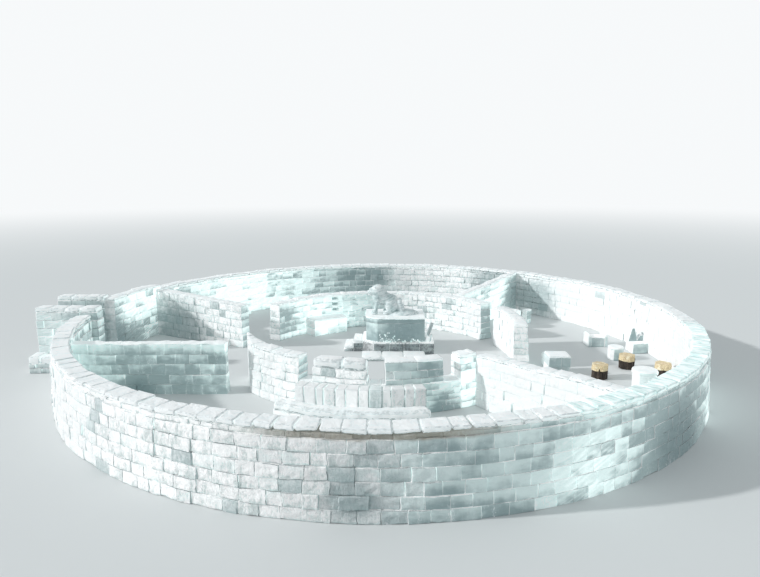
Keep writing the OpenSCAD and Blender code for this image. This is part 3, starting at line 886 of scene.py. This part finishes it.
def make_court():
    tip = spot(WEST_TIP_R, WEST_A)
    along = spot(COURT_FOOT_R, WEST_SLANT_A) - tip
    slant = (tip, Vector((along.y, -along.x, 0)))
    parapet = (FRONT_BASE_H, COURT_H)
    # Name, node, angles, height, courses, block width and finish
    stretches = (
        ("court_west", "court_wall_west", (WEST_A, FRONT_A), COURT_H, 6, 0.46, HEWN | {"slant": slant}),
        ("court_base", "court_front_base", (FRONT_A, PIER_A[0]), FRONT_BASE_H, 5, 0.40,
         {"cap_h": 0.05, "jut": 0.010}),
        ("parapet_left", "parapet_left", PARAPET_LEFT_A, parapet, ((0.15, 0.40), (0.23, 0.50)), 0.44,
         HEWN | {"cap_h": 0.29, "cap_size": 0.85, "shade": -0.2}),
        ("parapet_right", "parapet_right", PARAPET_RIGHT_A, parapet,
         ((0.15, 0.44), (0.21, 0.44), (0.24, 0.85)), 0.44,
         {"cap_h": 0.06, "cap_size": 0.85, "worn": WORN_BEVEL}),
        ("court_pier", "court_pier", PIER_A, COURT_H, 8, 0.36, {"shade": 0.3}),
        ("court_east", "court_wall_east", EAST_A, COURT_H, 6, 0.44, {"rugged": True}),
        ("court_right", "court_wall_right", RIGHT_A, COURT_H, 6, 0.40, HEWN | {"jut": 0.03}),
        ("court_back", "court_wall_back", (RIGHT_A[1], BENCH_A[0]), COURT_H, 6, 0.44, HEWN),
    )
    for seed, (name, node, angles, top, courses, size, finish) in enumerate(stretches, 21):
        masonry(seed, f"{name}_blocks", node, court_arc(angles), top, courses, size, **finish)


def make_niche_wall():
    """Court wall behind the bench, with three niches and snow ledges in them."""
    wall = court_arc((BENCH_A[0], WEST_BACK_A))
    niche_s = wall.s_at(NICHE_A)
    holes = [(niche_s - NICHE_W / 2, niche_s + NICHE_W / 2, NICHE_D,
              NICHE_TOP - NICHE_H - row * NICHE_PITCH, NICHE_TOP - row * NICHE_PITCH) for row in range(3)]
    masonry(29, "court_left_blocks", "court_wall_left", wall, COURT_H, 6, 0.44, holes=holes)
    ledges = new_mesh()
    for s0, s1, deep, z0, _ in holes:
        add_block(ledges, (s0 - 0.03, s1 + 0.03, -0.035, deep, z0 - 0.035, z0 + 0.006), 1.0, SNOW)
    bevel_all(ledges, 0.01)
    finish_piece(ledges, "niche_ledges", "court_wall_left", wall.point, shade=0.7)


def make_bench_and_steps():
    bench = even_arc(COURT_IN_R - BENCH_D, BENCH_D, BENCH_A)
    masonry(51, "bench_blocks", "court_bench", bench, top_of("court_bench"), 2, 0.9, 0.07, shade=0.5)
    upper = even_arc(COURT_FOOT_R, UPPER_STEP_D, UPPER_STEP_A)
    masonry(52, "upper_step_slabs", "step_upper", upper, FRONT_BASE_H, 1, 0.28, 0, shade=-0.3, worn=0.022,
            joint=0.012)
    lower = even_arc(COURT_FOOT_R + UPPER_STEP_D, LOWER_STEP_D, LOWER_STEP_A)
    masonry(53, "lower_step_humps", "step_lower", lower, top_of("step_lower"), 1, 0.42, 0.28, lower.length)


def make_partitions():
    """Sides of the entrance hall, and the walls between the rooms, which climb towards the ring."""
    front = "hall_wall_front"
    masonry(31, "hall_front_blocks", front, box_wall(front), top_of(front), 5, 0.56, 0.03, 1.5, soft=False,
            shade=0.4)
    # Name, place of each end, thickness, height at each end, block width and depth of snow
    walls = (("hall_back", (5.35, 163.1), (RING_IN_R, 158.5), 0.40, 1.64, 1.88, 0.38, 0.06),
             ("room_back", (COURT_FOOT_R, 49.8), (RING_IN_R, 49.8), 0.33, 1.56, RING_H, 0.55, SNOW_H),
             ("room_front", (COURT_FOOT_R, 303.4), (RING_IN_R, 303.4), 0.36, 1.50, RING_H, 0.55, SNOW_H))
    for seed, (name, start, end, thick, start_h, end_h, size, cap_h) in enumerate(walls, 32):
        wall = StraightWall(spot(*start), spot(*end), thick, start_h, end_h)
        masonry(seed, f"{name}_blocks", name.replace("_", "_wall_"), wall, start_h, 6, size, cap_h)


def make_porch():
    front, back, buttress = "porch_wall_front", "porch_wall_back", "porch_buttress"
    lay_walls(41, (("porch_front_blocks", front, box_wall(front), PORCH_H, 7, 0.52, 0.2),
                   ("porch_back_blocks", back, box_wall(back), PORCH_H, 7, 0.52, 0.2),
                   ("buttress_blocks", buttress, box_wall(buttress), top_of(buttress), 2, 0.42, 0.3, 0.4)),
              worn=0.02)


def cut_blocks(bm, outline, z0, z1, x_cuts, y_cuts, dice):
    """Splits an upright solid into blocks along the cuts, and adds them to bm."""
    half = JOINT / 2
    for x0, x1 in zip(x_cuts, x_cuts[1:]):
        for y0, y1 in zip(y_cuts, y_cuts[1:]):
            cell = new_mesh()
            prism(cell, outline, z0 + half, z1 - half)
            trim(cell, (x0 + half, 0, 0), (-1, 0, 0))
            trim(cell, (x1 - half, 0, 0), (1, 0, 0))
            trim(cell, (0, y0 + half, 0), (0, -1, 0))
            trim(cell, (0, y1 - half, 0), (0, 1, 0))
            mark(cell, cell.faces, dice.random())
            if cell.faces:
                bevel_all(cell, BEVEL * 1.4)
            join(bm, cell)


def plinth_outline(out=0.0, right_out=0.0, grow=0.0):
    left, front = PLINTH_CORNER_X - out - grow, PLINTH_LOW.y - out - grow
    right, back = PLINTH_HIGH.x + right_out + grow, PLINTH_HIGH.y + out + grow
    flank, corner = PLINTH_LOW.x - out - grow, PLINTH_LOW.y + PLINTH_FLANK_D
    return [(left, front), (right, front), (right, back), (flank, back), (flank, corner)]


def add_chip(bm, dice):
    """Small shard of ice on the plinth's front, more of them towards its left and foot."""
    share = dice.random() ** 1.2
    height = dice.uniform(0.02, 0.08)
    chip = new_mesh()
    bmesh.ops.create_cube(chip, size=1, matrix=Matrix.Diagonal((dice.uniform(0.015, 0.05), 0.03, height, 1)))
    turn = Matrix.Rotation(dice.uniform(-0.8, 0.8), 4, "Y") @ Matrix.Rotation(dice.uniform(-0.5, 0.5), 4, "Z")
    x = PLINTH_CORNER_X + 0.06 + share * (PLINTH_HIGH.x - PLINTH_CORNER_X - 0.12)
    z = PLINTH_LOW.z + 0.02 + dice.random() ** 2.5 * 0.40 * (1.1 - share)
    place = Matrix.Translation((x, PLINTH_LOW.y - 0.004, z))
    bmesh.ops.transform(chip, matrix=place @ turn, verts=chip.verts)
    mark(chip, chip.faces, dice.random(), SNOW if dice.random() < 0.5 else ICE)
    join(bm, chip)


def make_plinth():
    dice = random.Random(61)
    base = new_mesh()
    x_cuts = [BASE_LOW.x - 1, *(CENTRE.x + x for x in BASE_JOINTS_X), BASE_HIGH.x + 1]
    y_cuts = [BASE_LOW.y - 1, *BASE_JOINTS_Y, BASE_HIGH.y + 1]
    outline = plinth_outline(PLINTH_LOW.y - BASE_LOW.y, BASE_HIGH.x - PLINTH_HIGH.x)
    cut_blocks(base, outline, 0, BASE_HIGH.z, x_cuts, y_cuts, dice)
    finish_piece(base, "plinth_base_blocks", "plinth_base")
    body = new_mesh()
    wide = [PLINTH_LOW.x - 1, PLINTH_HIGH.x + 1]
    deep = [PLINTH_LOW.y - 1, PLINTH_HIGH.y + 1]
    top = PLINTH_HIGH.z - SLAB_H
    for z0, z1 in ((PLINTH_LOW.z, top - COPING_H), (top - COPING_H, top)):
        cut_blocks(body, plinth_outline(), z0, z1, wide, deep, dice)
    slab = new_mesh()
    prism(slab, plinth_outline(grow=0.02), top - 0.01, PLINTH_HIGH.z)
    mark(slab, slab.faces, 1.0, SNOW)
    bevel_all(slab, 0.024, 2)
    split(slab, [edge for edge in slab.edges if edge.calc_length() > 0.5], 9)
    roughen(slab, 0.012, 5.0, 3)
    join(body, slab)
    for _ in range(CHIPS):
        add_chip(body, dice)
    finish_piece(body, "plinth_blocks", "plinth", shade=0.4)


def make_plinth_steps():
    """Apron before the plinth, and the two steps at its left."""
    low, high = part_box("plinth_steps")
    flank_y = PLINTH_LOW.y + PLINTH_FLANK_D
    middle_x = low.x + (BASE_LOW.x - low.x) / 2
    node = "plinth_steps"
    apron = strip(BASE_LOW.x, high.x, low.y, BASE_LOW.y)
    lower = strip(low.x, middle_x, flank_y, high.y)
    upper = strip(middle_x, BASE_LOW.x, flank_y, high.y)
    lay_walls(62, (("apron_slabs", node, apron, 0.15, 1, 0.8, 0.1, 0.7),
                   ("side_step_low", node, lower, high.z / 2, 1, 0.5, 0.12),
                   ("side_step_high", node, upper, high.z, 2, 0.5, 0.12)))


class Carving:
    """Lumps about an origin, which a remesh makes one carving."""

    def __init__(self, origin):
        self.bm = bmesh.new()
        self.origin = origin

    def ball(self, centre, size, detail=3):
        """Rounded lump with its half sizes."""
        matrix = Matrix.Translation(self.origin + Vector(centre)) @ Matrix.Diagonal((*size, 1))
        bmesh.ops.create_icosphere(self.bm, subdivisions=detail, radius=1, matrix=matrix)

    def limb(self, start, end, start_r, end_r, count=7, detail=3):
        """Run of lumps from start to end."""
        for index in range(count):
            share = index / (count - 1)
            radius = start_r + share * (end_r - start_r)
            self.ball(Vector(start).lerp(Vector(end), share), (radius, radius, radius), detail)

    def locks(self, middle, ring_r, length, count, radius):
        """Ring of locks of hair round the head, combed back and down."""
        for index in range(count):
            turn = 2 * pi * index / count
            out = Vector((0, sin(turn), cos(turn)))
            root = Vector(middle) + out * ring_r
            tip = root - out * 0.015 + Vector((length, 0, -length * 0.45))
            self.limb(root, tip, radius, radius * 0.4, 4, 2)


def make_figure():
    """Seated big cat with a mane, which looks to the left, carved from ice with the mound it sits on."""
    low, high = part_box("guardian_figure")
    cat = Carving(Vector((low.x + 0.33, (low.y + high.y) / 2, low.z)))
    cat.limb((0.18, 0, 0.64), (0.56, 0, 0.48), 0.225, 0.24)
    cat.limb((0.56, 0, 0.48), (0.84, 0, 0.24), 0.245, 0.19)
    # Chest, head, cheeks, muzzle, chin and nose
    for x, z, size in ((0.04, 0.62, (0.20, 0.22, 0.27)), (0.04, 0.86, (0.26, 0.25, 0.25)),
                       (-0.15, 0.85, (0.14, 0.16, 0.15)), (-0.22, 0.79, (0.09, 0.11, 0.075)),
                       (-0.19, 0.715, (0.08, 0.08, 0.035)), (-0.305, 0.815, (0.02, 0.035, 0.024))):
        cat.ball((x, 0, z), size)
    cat.locks((-0.07, 0, 0.87), 0.17, 0.08, 13, 0.036)
    cat.locks((0.03, 0, 0.87), 0.21, 0.10, 17, 0.038)
    cat.locks((0.15, 0, 0.85), 0.205, 0.12, 17, 0.04)
    cat.locks((0.25, 0, 0.72), 0.19, 0.17, 15, 0.04)
    for side in (-1, 1):
        # Foreleg and paw, haunch and hind leg, ear, brow and eye
        cat.limb((0.05, side * 0.13, 0.50), (-0.05, side * 0.15, 0.12), 0.11, 0.07)
        cat.ball((-0.08, side * 0.15, 0.05), (0.12, 0.085, 0.065))
        for toe in (-1, 0, 1):
            cat.ball((-0.17, side * 0.15 + toe * 0.045, 0.035), (0.035, 0.025, 0.033), 2)
        cat.ball((0.52, side * 0.16, 0.33), (0.22, 0.15, 0.25))
        cat.limb((0.84, side * 0.15, 0.46), (0.92, side * 0.17, 0.16), 0.10, 0.12)
        cat.limb((0.50, side * 0.20, 0.14), (0.30, side * 0.21, 0.07), 0.085, 0.06)
        cat.ball((-0.05, side * 0.175, 1.0), (0.03, 0.045, 0.045), 2)
        cat.ball((-0.24, side * 0.075, 0.925), (0.05, 0.035, 0.022), 2)
        cat.ball((-0.272, side * 0.07, 0.89), (0.02, 0.02, 0.018), 2)
    # Mound behind it
    cat.ball((0.97, 0, -0.02), (0.62, 0.42, 0.20))
    trim(cat.bm, cat.origin, Vector((0, 0, -1)))
    piece = finish_piece(cat.bm, "guardian_carving", "guardian_figure", materials=CARVED_ICE)
    fuse = piece.modifiers.new("fuse", "REMESH")
    fuse.mode = "VOXEL"
    fuse.voxel_size = 0.015
    fuse.use_smooth_shade = True
    ease = piece.modifiers.new("ease", "SMOOTH")
    ease.factor = 0.5
    ease.iterations = 2


def make_corner_carving():
    """Pile of small ice shards that lean on each other."""
    low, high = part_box("corner_carving")
    foot = Vector(((low.x + high.x) / 2, (low.y + high.y) / 2, low.z))
    dice = random.Random(65)
    bm = new_mesh()
    # x, y, width, height, lean, turn, tint and material
    shards = ((0, 0, 0.30, 0.16, 0, 0, 0.9, ICE), (-0.05, 0.05, 0.16, 0.70, 17, 6, 0.2, ICE),
              (0.06, -0.02, 0.14, 0.44, -32, -8, 0.9, SNOW), (-0.07, -0.10, 0.14, 0.24, 20, -15, 0.8, SNOW),
              (0.07, -0.11, 0.12, 0.30, 8, 30, 0.3, ICE), (0.0, -0.12, 0.10, 0.13, -10, 20, 1.0, SNOW))
    for x, y, width, height, lean, turn, tint, part in shards:
        shard = new_mesh()
        bmesh.ops.create_cube(shard, size=1, matrix=Matrix.Diagonal((width * 0.75, width * 0.55, height, 1)))
        bmesh.ops.translate(shard, vec=(0, 0, height / 2), verts=shard.verts)
        mark(shard, shard.faces, tint, part)
        for vert in shard.verts:
            vert.co += jolt(dice, 0.015, 0.015, 0.02)
        bevel_all(shard, 0.014)
        place = turned(foot + Vector((x, y, 0)), turn) @ turned((0, 0, 0), lean, "Y")
        bmesh.ops.transform(shard, matrix=place, verts=shard.verts)
        join(bm, shard)
    for vert in bm.verts:
        vert.co.z = max(low.z, vert.co.z)
    finish_piece(bm, "corner_carving_ice", "corner_carving")


def make_drums(name, node, middles, dice, drums, materials=MASONRY):
    """Piece of drums with worn edges: radius, foot, top, segments, bevel, relief, tint and material."""
    bm = new_mesh()
    for middle in middles:
        for radius, z0, z1, segments, worn, relief, tint, part in drums:
            drum = new_mesh()
            place = Matrix.Translation((middle.x, middle.y, (z0 + z1) / 2))
            add_cylinder(drum, radius, z1 - z0, segments, place)
            rims = [edge for edge in drum.edges if abs(edge.verts[0].co.z - edge.verts[1].co.z) < 0.001]
            bevel(drum, rims, worn, 2)
            roughen(drum, relief, 6, dice.uniform(0, 9))
            mark(drum, drum.faces, tint, part)
            join(bm, drum)
    finish_piece(bm, name, node, materials=materials)


def make_table_and_stools():
    low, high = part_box("round_table")
    radius, foot_h = (high.x - low.x) / 2, high.z - 0.12
    make_drums("round_table_ice", "round_table", [(low + high) / 2], random.Random(71),
               ((0.34, 0, foot_h, 24, 0.02, 0.012, 0.7, ICE),
                (radius - 0.008, foot_h, high.z - 0.02, 32, 0.02, 0.006, 0.9, ICE),
                (radius - 0.02, high.z - 0.03, high.z - 0.002, 32, 0.012, 0.003, 1, SNOW)))
    dice = random.Random(72)
    make_drums("log_stools", "stools", [spot(*place) for place in STOOL_SPOTS], dice,
               ((0.245, 0, STOOL_H - 0.10, 9, 0.015, 0.03, 0.5, BARK),
                (0.266, STOOL_H - 0.20, STOOL_H - 0.002, 8, 0.025, 0.02, 0.5, SAWN)), WOOD)
    make_drums("ice_stool_block", "ice_stool", [spot(*ICE_STOOL_SPOT)], dice,
               ((0.262, 0, STOOL_H - 0.06, 12, 0.03, 0.012, 0.9, ICE),
                (0.264, STOOL_H - 0.08, STOOL_H - 0.003, 12, 0.03, 0.008, 1, SNOW)))


def make_settle():
    """Ice settle whose raised ends carry scrolls of snow."""
    bm = new_mesh()
    middle = spot(*SETTLE_AT)
    left, right = middle.x - SETTLE_W / 2, middle.x + SETTLE_W / 2
    front, back = middle.y - SETTLE_D / 2, middle.y + SETTLE_D / 2
    add_block(bm, (left + SETTLE_END_T, right - SETTLE_END_T, front + 0.02, back, 0, SETTLE_SEAT_H), 0.4)
    for x in (left, right - SETTLE_END_T):
        add_block(bm, (x, x + SETTLE_END_T, front, back, 0, SETTLE_END_H - SCROLL_R), 0.9)
    bevel_all(bm, 0.018)
    for x in (left + SETTLE_END_T / 2, right - SETTLE_END_T / 2):
        scroll = new_mesh()
        place = turned((x, middle.y, SETTLE_END_H - SCROLL_R - 0.005), 90, "X")
        add_cylinder(scroll, SCROLL_R, SETTLE_D - 0.01, 16, place)
        mark(scroll, scroll.faces, 1.0, SNOW)
        join(bm, scroll)
    return bm


def make_chair():
    """Ice chair with a notched back, against the ring."""
    chair = new_mesh()
    add_block(chair, (0, CHAIR_W, 0, CHAIR_D - CHAIR_BACK_T, 0, CHAIR_SEAT_H), 0.6)
    outline = ((0, 0), (1, 0), (1, 0.60), (0.8, 0.60), (0.6, 0.43), (0.4, 0.86), (0.2, 0.86),
               (0, CHAIR_SEAT_H))
    back = new_mesh()
    prism(back, [(CHAIR_W * x, z) for x, z in outline], 0, CHAIR_BACK_T)
    bmesh.ops.rotate(back, cent=(0, 0, 0), matrix=Matrix.Rotation(pi / 2, 3, "X"), verts=back.verts)
    bmesh.ops.translate(back, vec=(0, CHAIR_D, 0), verts=back.verts)
    mark(back, back.faces, 0.3)
    join(chair, back)
    bevel_all(chair, 0.02)
    step = Matrix.Translation((CHAIR_R - CHAIR_W, -CHAIR_D / 2, 0))
    bmesh.ops.transform(chair, matrix=turned(CENTRE, CHAIR_A) @ step, verts=chair.verts)
    return chair


def make_furniture():
    """Block table and its seat, counter and its post, and the seats by the ring and the doorway."""
    seats = make_settle()
    join(seats, make_chair())
    finish_piece(seats, "ice_seats", "ice_chairs")
    table_at = spot(*TABLE_AT)
    table, seat = stub(table_at, 0.70, 0.62, 0), stub(table_at + Vector((0, 0.8, 0)), 0.46, 0.42, 0)
    counter, post = stub(spot(*COUNTER_AT), 1.0, 0.42, 129.7), stub(spot(*POST_AT), 0.26, 0.26, 128.4)
    walls = [("block_table_top", "block_table", table, 0.68, 2, 0.8, 0.06, 0.9),
             ("block_table_seat", "block_table", seat, 0.43, 2, 0.6, 0.06, 0.9),
             ("counter_blocks", "serving_counter", counter, 0.80, 3, 0.5, 0.06, 0.6),
             ("counter_post", "serving_counter", post, 0.64, 3, 0.5, 0.05)]
    for number, angles in enumerate(WALL_SEATS_A, 1):
        seat = even_arc(RING_IN_R - WALL_SEAT_D, WALL_SEAT_D, angles)
        walls.append((f"wall_seat_{number}", "wall_seats", seat, 0.43, 2, 0.55, 0.06, 0.5))
    doorway = stub(spot(*DOORWAY_SEAT_AT), 0.30, 0.34, 119)
    walls.append(("doorway_seat_block", "doorway_seat", doorway, 0.46, 2, 0.5, 0.06))
    lay_walls(81, walls)


def make_floor():
    """Pale floor that fades into the backdrop."""
    mesh = bpy.data.meshes.new("floor")
    bm = bmesh.new()
    bmesh.ops.create_grid(bm, x_segments=1, y_segments=1, size=400)
    bm.to_mesh(mesh)
    bm.free()
    floor = add_object("floor", mesh)
    look = Look("floor", Roughness=1.0, Specular_IOR_Level=0.0, Emission_Strength=1.0)
    away = look.node("ShaderNodeVectorMath", {0: look.place()}, "Value", operation="LENGTH")
    far = away.above(*FLOOR_FADE)
    look.feed("Base Color", look.blend(far, FLOOR_GREY, BLACK))
    look.feed("Emission Color", look.blend(far, BLACK, BACKDROP))
    mesh.materials.append(look.material)


def make_world():
    """Pale sky light, and a near-white backdrop where the camera sees past the floor."""
    world = bpy.data.worlds.new("studio")
    scene.world = world
    nodes = Nodes(world)
    sky = nodes.node("ShaderNodeBackground", {"Color": SKY_BLUE, "Strength": 0.62})
    backdrop = nodes.node("ShaderNodeBackground", {"Color": BACKDROP})
    seen = nodes.node("ShaderNodeLightPath", output="Is Camera Ray")
    both = nodes.node("ShaderNodeMixShader", {0: seen, 1: sky, 2: backdrop})
    nodes.tree.links.new(both.link, nodes.tree.nodes["World Output"].inputs[0])


def make_sun():
    sun = bpy.data.lights.new("key", "SUN")
    sun.energy = 2.3
    sun.angle = radians(2)
    towards = SUN_FLAT + Vector((0, 0, tan(radians(SUN_ELEVATION))))
    add_object("key", sun).rotation_euler = towards.to_track_quat("Z", "Y").to_euler()


def make_camera():
    lens = bpy.data.cameras.new("camera")
    lens.sensor_width = SENSOR_W
    lens.lens = SENSOR_W * FOCAL_PIXELS / PHOTO_W
    camera = add_object("camera", lens)
    camera.location = CAMERA_AT
    camera.rotation_euler = (radians(90 - CAMERA_PITCH), radians(CAMERA_ROLL), 0)
    scene.camera = camera


make_ring()
make_court()
make_niche_wall()
make_bench_and_steps()
make_partitions()
make_porch()
make_plinth()
make_plinth_steps()
make_figure()
make_corner_carving()
make_table_and_stools()
make_furniture()
make_floor()
make_world()
make_sun()
make_camera()

scene.view_settings.view_transform = "Standard"
